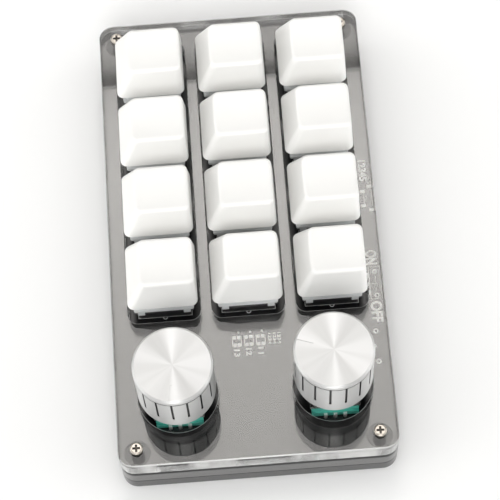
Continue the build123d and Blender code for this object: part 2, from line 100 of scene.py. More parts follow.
def moulded_plastic(name, dark, light, rough, grain_scale, grain_depth, sheen_scale=60.0):
    """Moulded finish between two near colours, with the grain as bump."""
    material = bpy.data.materials.new(name)
    material.use_nodes = True
    tree = material.node_tree
    shader = tree.nodes["Principled BSDF"]
    grain = tree.nodes.new("ShaderNodeGroup")
    grain.node_tree = moulded_grain
    grain.inputs["Grain Scale"].default_value = grain_scale
    grain.inputs["Sheen Scale"].default_value = sheen_scale
    grain.inputs["Rough Low"].default_value = rough[0]
    grain.inputs["Rough High"].default_value = rough[1]
    ramp = tree.nodes.new("ShaderNodeValToRGB")
    ramp.color_ramp.elements[0].position = 0.3
    ramp.color_ramp.elements[1].position = 0.7
    ramp.color_ramp.elements[0].color = (*dark, 1.0)
    ramp.color_ramp.elements[1].color = (*light, 1.0)
    bump = tree.nodes.new("ShaderNodeBump")
    bump.inputs["Distance"].default_value = grain_depth
    tree.links.new(grain.outputs["Shade"], ramp.inputs["Fac"])
    tree.links.new(ramp.outputs["Color"], shader.inputs["Base Color"])
    tree.links.new(grain.outputs["Roughness"], shader.inputs["Roughness"])
    tree.links.new(grain.outputs["Height"], bump.inputs["Height"])
    tree.links.new(bump.outputs["Normal"], shader.inputs["Normal"])
    return material


def finish_nodes(material, *names):
    """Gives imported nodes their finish."""
    for name in names:
        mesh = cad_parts[name].data
        mesh.materials.clear()
        mesh.materials.append(material)


def above(tree, height, low, high):
    """Value that steps from low to high where the piece rises past a height."""
    place = tree.nodes.new("ShaderNodeTexCoord")
    split = tree.nodes.new("ShaderNodeSeparateXYZ")
    step = tree.nodes.new("ShaderNodeMapRange")
    step.inputs["From Min"].default_value = height - edge_blur
    step.inputs["From Max"].default_value = height + edge_blur
    step.inputs["To Min"].default_value = low
    step.inputs["To Max"].default_value = high
    tree.links.new(place.outputs["Object"], split.inputs["Vector"])
    tree.links.new(split.outputs["Z"], step.inputs["Value"])
    return step.outputs["Result"]


def make_tray_finish():
    """Moulded black, a lighter grey in the wall above the seam, and matt on the bosses."""
    material = moulded_plastic(
        "tray_black", (0.016, 0.016, 0.016), (0.022, 0.022, 0.021), (0.14, 0.2), 900.0, 0.000004)
    tree = material.node_tree
    shader = tree.nodes["Principled BSDF"]
    upper_grey = tree.nodes.new("ShaderNodeMix")
    upper_grey.data_type = "RGBA"
    upper_grey.inputs["B"].default_value = (0.085, 0.084, 0.082, 1.0)
    wall = tree.nodes.new("ShaderNodeMath")
    wall.operation = "MULTIPLY"
    dull_and_shade = tree.nodes.new("ShaderNodeMix")
    dull_and_shade.inputs["B"].default_value = 0.75
    tree.links.new(above(tree, seam_height, 0.0, 1.0), wall.inputs[0])
    tree.links.new(above(tree, boss_height, 1.0, 0.0), wall.inputs[1])
    tree.links.new(wall.outputs["Value"], upper_grey.inputs["Factor"])
    tree.links.new(above(tree, boss_height, 0.0, 1.0), dull_and_shade.inputs["Factor"])
    tree.links.new(above(tree, boss_height, 0.5, 0.0), shader.inputs["Specular IOR Level"])
    tree.links.new(shader.inputs["Base Color"].links[0].from_socket, upper_grey.inputs["A"])
    tree.links.new(shader.inputs["Roughness"].links[0].from_socket, dull_and_shade.inputs["A"])
    tree.links.new(upper_grey.outputs["Result"], shader.inputs["Base Color"])
    tree.links.new(dull_and_shade.outputs["Result"], shader.inputs["Roughness"])
    return material


finish_nodes(make_tray_finish(), "base_tray")

# Rubber feet: four soft black pads, pressed into seats under the tray. The rubber is dull and
# slightly rough.
foot_rubber = moulded_plastic(
    "foot_rubber", (0.012, 0.012, 0.012), (0.02, 0.02, 0.02), (0.75, 0.9), 5000.0, 0.00003)
finish_nodes(foot_rubber, "rubber_feet")

# Battery cell and controller chip: a grey foil pouch on the tray floor and a small package
# under the board, both out of sight.
cell_foil = moulded_plastic(
    "cell_foil", (0.42, 0.43, 0.45), (0.52, 0.53, 0.55), (0.3, 0.45), 700.0, 0.00006)
chip_epoxy = moulded_plastic(
    "chip_epoxy", (0.02, 0.02, 0.02), (0.03, 0.03, 0.03), (0.5, 0.65), 7000.0, 0.00001)
finish_nodes(cell_foil, "battery_cell")
finish_nodes(chip_epoxy, "controller_chip")

# Power switch and its slider: a small black shell under the board with a nub behind the scoop
# in the right wall.
switch_black = moulded_plastic(
    "switch_black", (0.018, 0.018, 0.019), (0.028, 0.028, 0.03), (0.38, 0.5), 6000.0, 0.00001)
finish_nodes(switch_black, "power_switch", "power_slider")

# Charging and data socket: a drawn steel sleeve with a black contact tongue.
# Rolled and plated metal carries fine rubbed scratches.


def make_rubbed_metal():
    """Fine scratches along one direction, as a roughness and a shade."""
    group, given, result = new_group(
        "rubbed_metal",
        {"Scratch Scale": 900.0, "Stretch": 14.0, "Rough Low": 0.18, "Rough High": 0.32},
        ("Roughness", "Shade"),
    )
    place = group.nodes.new("ShaderNodeTexCoord")
    stretch = group.nodes.new("ShaderNodeCombineXYZ")
    pulled = group.nodes.new("ShaderNodeVectorMath")
    scratch = group.nodes.new("ShaderNodeTexNoise")
    spread = group.nodes.new("ShaderNodeMapRange")
    pulled.operation = "MULTIPLY"
    scratch.inputs["Detail"].default_value = 4.0
    stretch.inputs["X"].default_value = 1.0
    stretch.inputs["Y"].default_value = 1.0
    group.links.new(given.outputs["Stretch"], stretch.inputs["Z"])
    group.links.new(place.outputs["Object"], pulled.inputs[0])
    group.links.new(stretch.outputs["Vector"], pulled.inputs[1])
    group.links.new(pulled.outputs["Vector"], scratch.inputs["Vector"])
    group.links.new(given.outputs["Scratch Scale"], scratch.inputs["Scale"])
    group.links.new(scratch.outputs["Fac"], spread.inputs["Value"])
    group.links.new(given.outputs["Rough Low"], spread.inputs["To Min"])
    group.links.new(given.outputs["Rough High"], spread.inputs["To Max"])
    group.links.new(spread.outputs["Result"], result.inputs["Roughness"])
    group.links.new(scratch.outputs["Fac"], result.inputs["Shade"])
    return group


rubbed_metal = make_rubbed_metal()


def plated_metal(name, dark, light, rough, scratch_scale, stretch):
    """Plated or drawn metal between two near colours."""
    material = bpy.data.materials.new(name)
    material.use_nodes = True
    tree = material.node_tree
    shader = tree.nodes["Principled BSDF"]
    shader.inputs["Metallic"].default_value = 1.0
    rub = tree.nodes.new("ShaderNodeGroup")
    rub.node_tree = rubbed_metal
    rub.inputs["Scratch Scale"].default_value = scratch_scale
    rub.inputs["Stretch"].default_value = stretch
    rub.inputs["Rough Low"].default_value = rough[0]
    rub.inputs["Rough High"].default_value = rough[1]
    ramp = tree.nodes.new("ShaderNodeValToRGB")
    ramp.color_ramp.elements[0].position = 0.35
    ramp.color_ramp.elements[1].position = 0.65
    ramp.color_ramp.elements[0].color = (*dark, 1.0)
    ramp.color_ramp.elements[1].color = (*light, 1.0)
    tree.links.new(rub.outputs["Shade"], ramp.inputs["Fac"])
    tree.links.new(ramp.outputs["Color"], shader.inputs["Base Color"])
    tree.links.new(rub.outputs["Roughness"], shader.inputs["Roughness"])
    return material


socket_steel = plated_metal(
    "socket_steel", (0.55, 0.55, 0.55), (0.66, 0.66, 0.65), (0.2, 0.34), 1200.0, 8.0)
tongue_black = moulded_plastic(
    "tongue_black", (0.02, 0.02, 0.02), (0.03, 0.03, 0.03), (0.4, 0.5), 6000.0, 0.00001)
finish_nodes(socket_steel, "usb_socket")
finish_nodes(tongue_black, "usb_tongue")

# Circuit board: glass-fibre laminate under a glossy black solder mask, seen through the cover.
# Its rim shows as a thin dark line between the cover and the tray, and it is dull where the
# screws clamp the cover to it.
screw_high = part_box("cover_screws")[1]
screw_head = 3.4 * MM
clamp_reach = 3.4 * MM


def make_near_screw():
    """One within a reach of the nearest screw's axis, and nought beyond it."""
    group, given, result = new_group("near_screw", {"Reach": 0.001}, ("Near",))
    place = group.nodes.new("ShaderNodeTexCoord")
    fold = group.nodes.new("ShaderNodeVectorMath")
    flat = group.nodes.new("ShaderNodeVectorMath")
    arm = group.nodes.new("ShaderNodeVectorMath")
    near = group.nodes.new("ShaderNodeMath")
    fold.operation = "ABSOLUTE"
    flat.operation = "MULTIPLY"
    flat.inputs[1].default_value = (1.0, 1.0, 0.0)
    arm.operation = "DISTANCE"
    arm.inputs[1].default_value = (screw_high.x - screw_head / 2, screw_high.y - screw_head / 2, 0.0)
    near.operation = "LESS_THAN"
    group.links.new(place.outputs["Object"], fold.inputs[0])
    group.links.new(fold.outputs["Vector"], flat.inputs[0])
    group.links.new(flat.outputs["Vector"], arm.inputs[0])
    group.links.new(arm.outputs["Value"], near.inputs[0])
    group.links.new(given.outputs["Reach"], near.inputs[1])
    group.links.new(near.outputs["Value"], result.inputs["Near"])
    return group


near_screw = make_near_screw()
board_mask = moulded_plastic(
    "board_mask", (0.006, 0.006, 0.007), (0.01, 0.01, 0.011), (0.16, 0.22), 2500.0, 0.000003)
board_tree = board_mask.node_tree
board_facing = board_tree.nodes.new("ShaderNodeNewGeometry")
board_split = board_tree.nodes.new("ShaderNodeSeparateXYZ")
board_gloss = board_tree.nodes.new("ShaderNodeMapRange")
board_gloss.inputs["To Min"].default_value = 0.05
board_gloss.inputs["To Max"].default_value = 0.5
board_tree.links.new(board_facing.outputs["True Normal"], board_split.inputs["Vector"])
board_tree.links.new(board_split.outputs["Z"], board_gloss.inputs["Value"])
board_clamp = board_tree.nodes.new("ShaderNodeGroup")
board_clamp.node_tree = near_screw
board_clamp.inputs["Reach"].default_value = clamp_reach
board_sheen = board_tree.nodes.new("ShaderNodeMix")
board_sheen.inputs["B"].default_value = 0.0
board_tree.links.new(board_clamp.outputs["Near"], board_sheen.inputs["Factor"])
board_tree.links.new(board_gloss.outputs["Result"], board_sheen.inputs["A"])
board_tree.links.new(
    board_sheen.outputs["Result"], board_tree.nodes["Principled BSDF"].inputs["Specular IOR Level"])
finish_nodes(board_mask, "circuit_board")

# Board print: white ink lines, rings, pads and plain figures, a few hundredths of a millimetre
# thick, laid on the mask before the cover goes on.
board_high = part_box("circuit_board")[1]
print_sink = 0.01 * MM
print_bottom = board_high.z - print_sink
print_height = 0.03 * MM
ink_spread = 0.03 * MM
line_width = 0.22 * MM
outline_size = 14.0 * MM
outline_ring = 0.55 * MM
outline_ring_gap = 0.1 * MM
key_boxes = [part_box(f"keycap_{number}") for number in range(1, 13)]
key_middle = (key_boxes[0][0] + key_boxes[11][1]) / 2
column_pitch = (key_boxes[1][0] - key_boxes[0][0]).x
row_pitch = (key_boxes[0][0] - key_boxes[3][0]).y

print_ink = moulded_plastic(
    "print_ink", (0.94, 0.94, 0.93), (0.97, 0.97, 0.96), (0.5, 0.65), 4000.0, 0.000004, 300.0)


def new_tree(name, inputs):
    """Empty geometry tree with named inputs and one geometry output."""
    tree = bpy.data.node_groups.new(name, "GeometryNodeTree")
    for label, (kind, value) in inputs.items():
        socket = tree.interface.new_socket(label, in_out="INPUT", socket_type="NodeSocket" + kind)
        if value is not None:
            socket.default_value = value
    tree.interface.new_socket("Geometry", in_out="OUTPUT", socket_type="NodeSocketGeometry")
    return tree, tree.nodes.new("NodeGroupInput"), tree.nodes.new("NodeGroupOutput")


def close_tree(tree, given, result, geometry):
    """Realizes the copies, sets their material and sends them out."""
    realize = tree.nodes.new("GeometryNodeRealizeInstances")
    coat = tree.nodes.new("GeometryNodeSetMaterial")
    tree.links.new(geometry, realize.inputs["Geometry"])
    tree.links.new(realize.outputs["Geometry"], coat.inputs["Geometry"])
    tree.links.new(given.outputs["Finish"], coat.inputs["Material"])
    tree.links.new(coat.outputs["Geometry"], result.inputs["Geometry"])


def grow(name, tree, values):
    """Runs a geometry tree with these values and keeps the result as a plain mesh."""
    piece = bpy.data.objects.new(name, bpy.data.meshes.new(name))
    bpy.context.scene.collection.objects.link(piece)
    modifier = piece.modifiers.new("rule", "NODES")
    modifier.node_group = tree
    for socket in tree.interface.items_tree:
        if socket.in_out == "INPUT":
            modifier[socket.identifier] = values[socket.name]
    evaluated = piece.evaluated_get(bpy.context.evaluated_depsgraph_get())
    mesh = bpy.data.meshes.new_from_object(evaluated)
    piece.modifiers.remove(modifier)
    piece.data = mesh
    mesh.name = name
    return piece


def make_outline_tree():
    """A rounded-off square line round each switch, with a small ring at its front."""
    tree, given, result = new_tree("switch_outlines", {
        "Columns": ("Int", 3), "Rows": ("Int", 4), "Width": ("Float", 0.04), "Length": ("Float", 0.06),
        "Outline": ("Float", 0.014), "Line": ("Float", 0.0002), "Height": ("Float", 0.00003),
        "Ring": ("Float", 0.0005), "Ring Offset": ("Vector", None), "Middle": ("Vector", None),
        "Finish": ("Material", None),
    })
    grid = tree.nodes.new("GeometryNodeMeshGrid")
    square = tree.nodes.new("GeometryNodeCurvePrimitiveQuadrilateral")
    section = tree.nodes.new("GeometryNodeCurvePrimitiveQuadrilateral")
    ring = tree.nodes.new("GeometryNodeCurvePrimitiveCircle")
    ring_shift = tree.nodes.new("GeometryNodeTransform")
    both = tree.nodes.new("GeometryNodeJoinGeometry")
    line = tree.nodes.new("GeometryNodeCurveToMesh")
    copies = tree.nodes.new("GeometryNodeInstanceOnPoints")
    shift = tree.nodes.new("GeometryNodeTransform")
    ring.inputs["Resolution"].default_value = 20
    for label, node, socket in (
            ("Columns", grid, "Vertices X"), ("Rows", grid, "Vertices Y"), ("Width", grid, "Size X"),
            ("Length", grid, "Size Y"), ("Outline", square, "Width"), ("Outline", square, "Height"),
            ("Line", section, "Width"), ("Height", section, "Height"), ("Ring", ring, "Radius"),
            ("Ring Offset", ring_shift, "Translation"), ("Middle", shift, "Translation")):
        tree.links.new(given.outputs[label], node.inputs[socket])
    tree.links.new(ring.outputs["Curve"], ring_shift.inputs["Geometry"])
    tree.links.new(square.outputs["Curve"], both.inputs["Geometry"])
    tree.links.new(ring_shift.outputs["Geometry"], both.inputs["Geometry"])
    tree.links.new(both.outputs["Geometry"], line.inputs["Curve"])
    tree.links.new(section.outputs["Curve"], line.inputs["Profile Curve"])
    tree.links.new(grid.outputs["Mesh"], copies.inputs["Points"])
    tree.links.new(line.outputs["Mesh"], copies.inputs["Instance"])
    tree.links.new(copies.outputs["Instances"], shift.inputs["Geometry"])
    close_tree(tree, given, result, shift.outputs["Geometry"])
    return tree


outlines = grow("switch_outlines", make_outline_tree(), {
    "Columns": 3, "Rows": 4, "Width": 2 * column_pitch, "Length": 3 * row_pitch, "Outline": outline_size,
    "Line": line_width, "Height": print_height, "Ring": outline_ring,
    "Ring Offset": (0.0, -outline_size / 2 - outline_ring_gap, 0.0),
    "Middle": (key_middle.x, key_middle.y, print_bottom + print_height / 2), "Finish": print_ink,
})
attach(outlines, "base")

# In millimetres: words with their middle, length and height; plates with their middle, width and
# length; rings with their middle, outer and inner radius.
text_parts = (
    ("ON", (33.2, -10.1), 4.1, 3.0), ("OFF", (33.3, -25.55), 5.9, 3.05), ("12345", (33.2, 15.3), 6.1, 2.0),
    ("13", (-3.8, -34.15), 2.0, 1.5), ("12", (-0.7, -34.0), 2.0, 1.5), ("11", (2.4, -33.85), 1.9, 1.5),
    ("1234", (4.95, -30.75), 3.1, 0.85), ("1234", (6.15, -30.75), 3.1, 0.85),
    ("1234", (7.35, -30.75), 3.1, 0.85),
)
plate_parts = [
    (34.6, 10.5, 1.3, 1.0), (32.7, 9.1, 1.2, 1.0), (32.65, 5.0, 1.2, 0.95), (34.65, 3.7, 1.3, 1.0),
    (35.1, 7.1, 0.12, 5.0), (32.9, 7.05, 0.12, 3.0), (33.35, 7.6, 0.6, 0.12), (33.35, 7.1, 0.6, 0.12),
    (33.35, 6.6, 0.6, 0.12), (31.65, -15.25, 0.65, 1.6), (31.7, -17.65, 0.65, 1.2),
    (31.7, -20.05, 0.65, 1.3),
    (33.65, -12.8, 3.0, 0.15), (33.6, -21.9, 3.2, 0.15), (32.15, -17.35, 0.15, 9.2),
    (35.1, -17.35, 0.15, 9.2),
    (33.75, -17.6, 0.1, 4.4), (33.3, -17.6, 1.6, 0.1), (32.0, -35.05, 0.5, 0.8),
]
led_y = -30.9
for led_x in (-3.65, -0.55, 2.55):
    plate_parts += [(led_x + dx, led_y + dy, 0.85, 0.95) for dx in (-0.55, 0.55) for dy in (-1.05, 1.05)]
    plate_parts += [(led_x + dx, led_y, 0.18, 2.9) for dx in (-1.15, 1.15)]
ring_parts = [
    (33.75, -14.25, 0.68, 0.36), (33.75, -20.9, 0.68, 0.36), (32.5, -30.9, 0.72, 0.36),
    (32.5, -39.25, 0.72, 0.36),
    (-3.15, -28.4, 0.34, 0.0), (-0.1, -28.45, 0.34, 0.0), (3.05, -28.45, 0.34, 0.0),
]


def make_text(body, place, length, height):
    """A word or figure as a thin mesh, fitted to its room and turned to read towards the knobs."""
    curve = bpy.data.curves.new(body, "FONT")
    curve.body = body
    curve.size = MM
    curve.resolution_u = 4
    curve.extrude = print_height / 2
    curve.offset = ink_spread
    word = bpy.data.objects.new(body, curve)
    bpy.context.scene.collection.objects.link(word)
    evaluated = word.evaluated_get(bpy.context.evaluated_depsgraph_get())
    mesh = bpy.data.meshes.new_from_object(evaluated)
    bpy.data.objects.remove(word)
    spans = [[vertex.co[axis] for vertex in mesh.vertices] for axis in (0, 1)]
    middle = Vector(((min(spans[0]) + max(spans[0])) / 2, (min(spans[1]) + max(spans[1])) / 2, 0))
    fit = Matrix.Diagonal((
        length * MM / (max(spans[0]) - min(spans[0])), height * MM / (max(spans[1]) - min(spans[1])), 1, 1))
    seat = Matrix.Translation((place[0] * MM, place[1] * MM, print_bottom + print_height / 2))
    mesh.transform(seat @ Matrix.Rotation(-math.pi / 2, 4, "Z") @ fit @ Matrix.Translation(-middle))
    return mesh


def add_plate(mesh, x, y, width, length):
    """A flat pad or line."""
    seat = Matrix.Translation((x * MM, y * MM, print_bottom + print_height / 2))
    size = Matrix.Diagonal((width * MM, length * MM, print_height, 1))
    bmesh.ops.create_cube(mesh, size=1.0, matrix=seat @ size)


def add_ring(mesh, x, y, outer, inner, steps=24):
    """A flat ring, or a dot where it has no hole."""
    rows = []
    for radius, z in ((outer, 0), (outer, print_height), (inner, print_height), (inner, 0)):
        turns = [2 * math.pi * step / steps for step in range(steps)]
        rows.append([mesh.verts.new((
            (x + radius * math.cos(turn)) * MM, (y + radius * math.sin(turn)) * MM, print_bottom + z))
            for turn in turns])
    for row, after in zip(rows, rows[1:] + rows[:1]):
        for step in range(steps):
            last = (step + 1) % steps
            mesh.faces.new((row[step], row[last], after[last], after[step]))


def make_legends():
    """All the words, figures, pads, lines and rings of the print as one mesh."""
    mesh = bmesh.new()
    for part in text_parts:
        text = make_text(*part)
        mesh.from_mesh(text)
        bpy.data.meshes.remove(text)
    for part in plate_parts:
        add_plate(mesh, *part)
    for part in ring_parts:
        add_ring(mesh, *part)
    bmesh.ops.remove_doubles(mesh, verts=mesh.verts, dist=MM / 1e6)
    bmesh.ops.recalc_face_normals(mesh, faces=mesh.faces)
    data = bpy.data.meshes.new("board_legends")
    mesh.to_mesh(data)
    mesh.free()
    data.materials.append(print_ink)
    return data


legends = bpy.data.objects.new("board_legends", make_legends())
bpy.context.scene.collection.objects.link(legends)
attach(legends, "base")

# Clear cover: a thick sheet of polished acrylic, cut with one slot for each key column and a
# hole for each knob. Its sawn rim is satin, and the broken upper edges are frosted.
cover_low, cover_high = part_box("clear_cover")
cover_gap = 0.06 * MM
cover_corner = 4.0 * MM
cover_breaks = (0.15 * MM, 0.62 * MM)
cut_breaks = (0.18 * MM, 0.18 * MM)
slot_width = 18.8 * MM
slot_end_room = 20.6 * MM
slot_length = 3 * row_pitch + slot_end_room
slot_corner = 2.5 * MM
knob_hole = 20.6 * MM
rim_clarity = (0.88, 0.5)
rim_patch_edges = (0.42, 0.6)
rim_patch_scale = 85.0
bevel_clarity = 0.48
knob_places = [(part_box(f"{side}_encoder_shaft")[0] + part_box(f"{side}_encoder_shaft")[1]) / 2
               for side in ("left", "right")]


def rounded_loop(width, length, corner, middle, breaks, ring, steps=10):
    """Points of a rounded rectangle, moved out and up by shares of its edge break, which goes from
    one size at the sides to another at the ends."""
    points = []
    out_share, level, up_share = ring
    for quarter, (sx, sy) in enumerate(((1, 1), (-1, 1), (-1, -1), (1, -1))):
        cx = middle[0] + sx * (width / 2 - corner)
        cy = middle[1] + sy * (length / 2 - corner)
        for step in range(steps + 1):
            angle = math.pi / 2 * (quarter + step / steps)
            edge_break = breaks[0] + (breaks[1] - breaks[0]) * math.sin(angle) ** 2
            radius = corner + out_share * edge_break
            points.append((cx + radius * math.cos(angle), cy + radius * math.sin(angle),
                           level + up_share * edge_break))
    return points


def make_cover_mesh():
    """Walls from rings of like points, closed above and below by flat faces with holes."""
    bottom = cover_low.z + cover_gap
    top = cover_high.z
    width = cover_high.x - cover_low.x
    length = cover_high.y - cover_low.y
    outer_rings = ((0, bottom, 0), (0, top, -1), (-1 / 2, top, -1 / 3), (-1, top, 0))
    hole_rings = ((0, bottom, 0), (0, top, -1), (1, top, 0))
    slot_front = key_middle.y - slot_length / 2 + slot_corner
    all_round = (cover_low.y - MM, cover_high.y + MM)
    loops = [((width, length, cover_corner, (0, 0), cover_breaks), outer_rings, all_round)]
    for column in (-1, 0, 1):
        middle = (key_middle.x + column * column_pitch, key_middle.y)
        slot = (slot_width, slot_length, slot_corner, middle, cut_breaks)
        loops.append((slot, hole_rings, (cover_low.y, slot_front)))
    for place in knob_places:
        hole = (knob_hole, knob_hole, knob_hole / 2, place, cut_breaks)
        loops.append((hole, hole_rings, (cover_low.y, cover_high.y)))
    mesh = bmesh.new()
    lids = ([], [])
    for shape, rings, frosted in loops:
        rows = [[mesh.verts.new(point) for point in rounded_loop(*shape, ring)] for ring in rings]
        for lower, upper in zip(rows, rows[1:]):
            for index in range(len(lower)):
                after = (index + 1) % len(lower)
                wall = mesh.faces.new((lower[index], lower[after], upper[after], upper[index]))
                if upper is rows[-1] and frosted[0] < lower[index].co.y < frosted[1]:
                    wall.material_index = 2
                elif rings is outer_rings:
                    wall.material_index = 1
        for lid, row in zip(lids, (rows[0], rows[-1])):
            lid.extend(mesh.edges.get((row[i - 1], row[i])) for i in range(len(row)))
    for lid in lids:
        bmesh.ops.triangle_fill(mesh, edges=lid, use_beauty=True)
    bmesh.ops.recalc_face_normals(mesh, faces=mesh.faces)
    data = bpy.data.meshes.new("cover_sheet")
    mesh.to_mesh(data)
    mesh.free()
    return data


cover = bpy.data.objects.new("cover_sheet", make_cover_mesh())
bpy.context.scene.collection.objects.link(cover)
acrylic = bpy.data.materials.new("clear_acrylic")
acrylic.use_nodes = True
acrylic_shader = acrylic.node_tree.nodes["Principled BSDF"]
acrylic_shader.inputs["Base Color"].default_value = (0.975, 0.972, 0.96, 1.0)
acrylic_shader.inputs["Roughness"].default_value = 0.0
acrylic_shader.inputs["IOR"].default_value = 1.49
acrylic_shader.inputs["Transmission Weight"].default_value = 1.0
acrylic_rim = acrylic.copy()
acrylic_rim.name = "sawn_acrylic"
rim_shader = acrylic_rim.node_tree.nodes["Principled BSDF"]
rim_shader.inputs["Base Color"].default_value = (0.9, 0.9, 0.885, 1.0)
rim_shader.inputs["Roughness"].default_value = 0.14
rim_shader.inputs["Transmission Weight"].default_value = rim_clarity[0]
rim_place = acrylic_rim.node_tree.nodes.new("ShaderNodeTexCoord")
rim_stretch = acrylic_rim.node_tree.nodes.new("ShaderNodeVectorMath")
rim_stretch.operation = "MULTIPLY"
rim_stretch.inputs[1].default_value = (1.0, 1.0, 0.25)
rim_patches = acrylic_rim.node_tree.nodes.new("ShaderNodeTexNoise")
rim_patches.inputs["Scale"].default_value = rim_patch_scale
rim_patches.inputs["Detail"].default_value = 3.0
rim_haze = acrylic_rim.node_tree.nodes.new("ShaderNodeMapRange")
rim_haze.inputs["From Min"].default_value = rim_patch_edges[0]
rim_haze.inputs["From Max"].default_value = rim_patch_edges[1]
rim_haze.inputs["To Min"].default_value = rim_clarity[0]
rim_haze.inputs["To Max"].default_value = rim_clarity[1]
acrylic_rim.node_tree.links.new(rim_place.outputs["Object"], rim_stretch.inputs[0])
acrylic_rim.node_tree.links.new(rim_stretch.outputs["Vector"], rim_patches.inputs["Vector"])
acrylic_rim.node_tree.links.new(rim_patches.outputs["Fac"], rim_haze.inputs["Value"])
acrylic_bevel = acrylic_rim.copy()
acrylic_bevel.name = "frosted_acrylic"
bevel_shader = acrylic_bevel.node_tree.nodes["Principled BSDF"]
bevel_shader.inputs["Transmission Weight"].default_value = bevel_clarity
acrylic_rim.node_tree.links.new(rim_haze.outputs["Result"], rim_shader.inputs["Transmission Weight"])
cover.data.materials.append(acrylic)
cover.data.materials.append(acrylic_rim)
cover.data.materials.append(acrylic_bevel)
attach(cover, "base")
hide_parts("clear_cover")

# Cover screws: nickel-plated pan heads that hold the sheet to the tray's bosses. Down in the
# cross recess the colour is darkened as painted shade.
recess_shade_reach = 1.05 * MM
crown_drop = 0.1 * MM


def make_screw_finish():
    """Warm nickel, with painted shade near each screw's axis below the crown of its head."""
    material = plated_metal(
        "screw_nickel", (0.46, 0.42, 0.37), (0.64, 0.59, 0.53), (0.22, 0.36), 1500.0, 1.0)
    tree = material.node_tree
    shader = tree.nodes["Principled BSDF"]
    near = tree.nodes.new("ShaderNodeGroup")
    near.node_tree = near_screw
    near.inputs["Reach"].default_value = recess_shade_reach
    painted_shade_mask = tree.nodes.new("ShaderNodeMath")
    painted_shade_mask.operation = "MULTIPLY"
    # painted shade: the cross recess below the crown is coloured near black
    dark = tree.nodes.new("ShaderNodeMix")
    dark.data_type = "RGBA"
    dark.inputs["B"].default_value = (0.06, 0.054, 0.048, 1.0)
    tree.links.new(near.outputs["Near"], painted_shade_mask.inputs[0])
    tree.links.new(above(tree, screw_high.z - crown_drop, 1.0, 0.0), painted_shade_mask.inputs[1])
    tree.links.new(painted_shade_mask.outputs["Value"], dark.inputs["Factor"])
    tree.links.new(shader.inputs["Base Color"].links[0].from_socket, dark.inputs["A"])
    tree.links.new(dark.outputs["Result"], shader.inputs["Base Color"])
    return material


finish_nodes(make_screw_finish(), "cover_screws")

# Key switches: black lower housings, milky upper housings with their latch legs, sprung stems
# and contact blades.
switch_milky = moulded_plastic(
    "switch_milky", (0.7, 0.72, 0.72), (0.78, 0.79, 0.79), (0.28, 0.36), 3000.0, 0.000006)
stem_plastic = moulded_plastic(
    "stem_plastic", (0.2, 0.09, 0.035), (0.26, 0.12, 0.05), (0.3, 0.4), 3000.0, 0.000006)
contact_metal = plated_metal(
    "contact_metal", (0.6, 0.57, 0.5), (0.72, 0.7, 0.63), (0.2, 0.35), 1500.0, 6.0)
spring_steel = plated_metal(
    "spring_steel", (0.5, 0.5, 0.5), (0.6, 0.6, 0.6), (0.2, 0.3), 900.0, 1.0)
finish_nodes(switch_black, "switch_bases")
finish_nodes(switch_milky, "switch_tops")
finish_nodes(contact_metal, "switch_contacts")
finish_nodes(stem_plastic, *(f"key_stem_{number}" for number in range(1, 13)))

# Return springs: one wound steel coil in each switch, between its floor and the stem's shoulder.
spring_low, spring_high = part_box("key_springs")
spring_wire = 0.35 * MM
spring_turns = 6.0
spring_diameter = 4.4 * MM


def make_coil_tree():
    """One round wire wound up a straight axis."""
    tree, given, result = new_tree("return_coil", {
        "Turns": ("Float", 6.0), "Radius": ("Float", 0.002), "Height": ("Float", 0.007),
        "Wire": ("Float", 0.0002), "Foot": ("Vector", None), "Finish": ("Material", None),
    })
    coil = tree.nodes.new("GeometryNodeCurveSpiral")
    section = tree.nodes.new("GeometryNodeCurvePrimitiveCircle")
    wire = tree.nodes.new("GeometryNodeCurveToMesh")
    shift = tree.nodes.new("GeometryNodeTransform")
    coil.inputs["Resolution"].default_value = 24
    section.inputs["Resolution"].default_value = 8
    wire.inputs["Fill Caps"].default_value = True
    for label, node, socket in (
            ("Turns", coil, "Rotations"), ("Radius", coil, "Start Radius"), ("Radius", coil, "End Radius"),
            ("Height", coil, "Height"), ("Wire", section, "Radius"), ("Foot", shift, "Translation")):
        tree.links.new(given.outputs[label], node.inputs[socket])
    tree.links.new(coil.outputs["Curve"], wire.inputs["Curve"])
    tree.links.new(section.outputs["Curve"], wire.inputs["Profile Curve"])
    tree.links.new(wire.outputs["Mesh"], shift.inputs["Geometry"])
    close_tree(tree, given, result, shift.outputs["Geometry"])
    return tree


coil_tree = make_coil_tree()
spring_height = spring_high.z - spring_low.z
for number, (key_low, key_high) in enumerate(key_boxes, 1):
    foot = (key_low + key_high) / 2
    foot.z = spring_low.z
    spring = grow(f"key_spring_{number}", coil_tree, {
        "Turns": spring_turns, "Radius": (spring_diameter - spring_wire) / 2,
        "Height": spring_height - spring_wire, "Wire": spring_wire / 2,
        "Foot": (foot.x, foot.y, foot.z + spring_wire / 2), "Finish": spring_steel,
    })
    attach(spring, "base")
    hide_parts("key_springs")
    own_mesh(spring)

# Key caps: white moulded caps with a fine dry texture and a dished top, each pushed onto the
# cross of its stem.
cap_white = moulded_plastic(
    "cap_white", (0.885, 0.88, 0.862), (0.915, 0.91, 0.893), (0.42, 0.5), 9000.0, 0.000012)
finish_nodes(cap_white, *(f"keycap_{number}" for number in range(1, 13)))

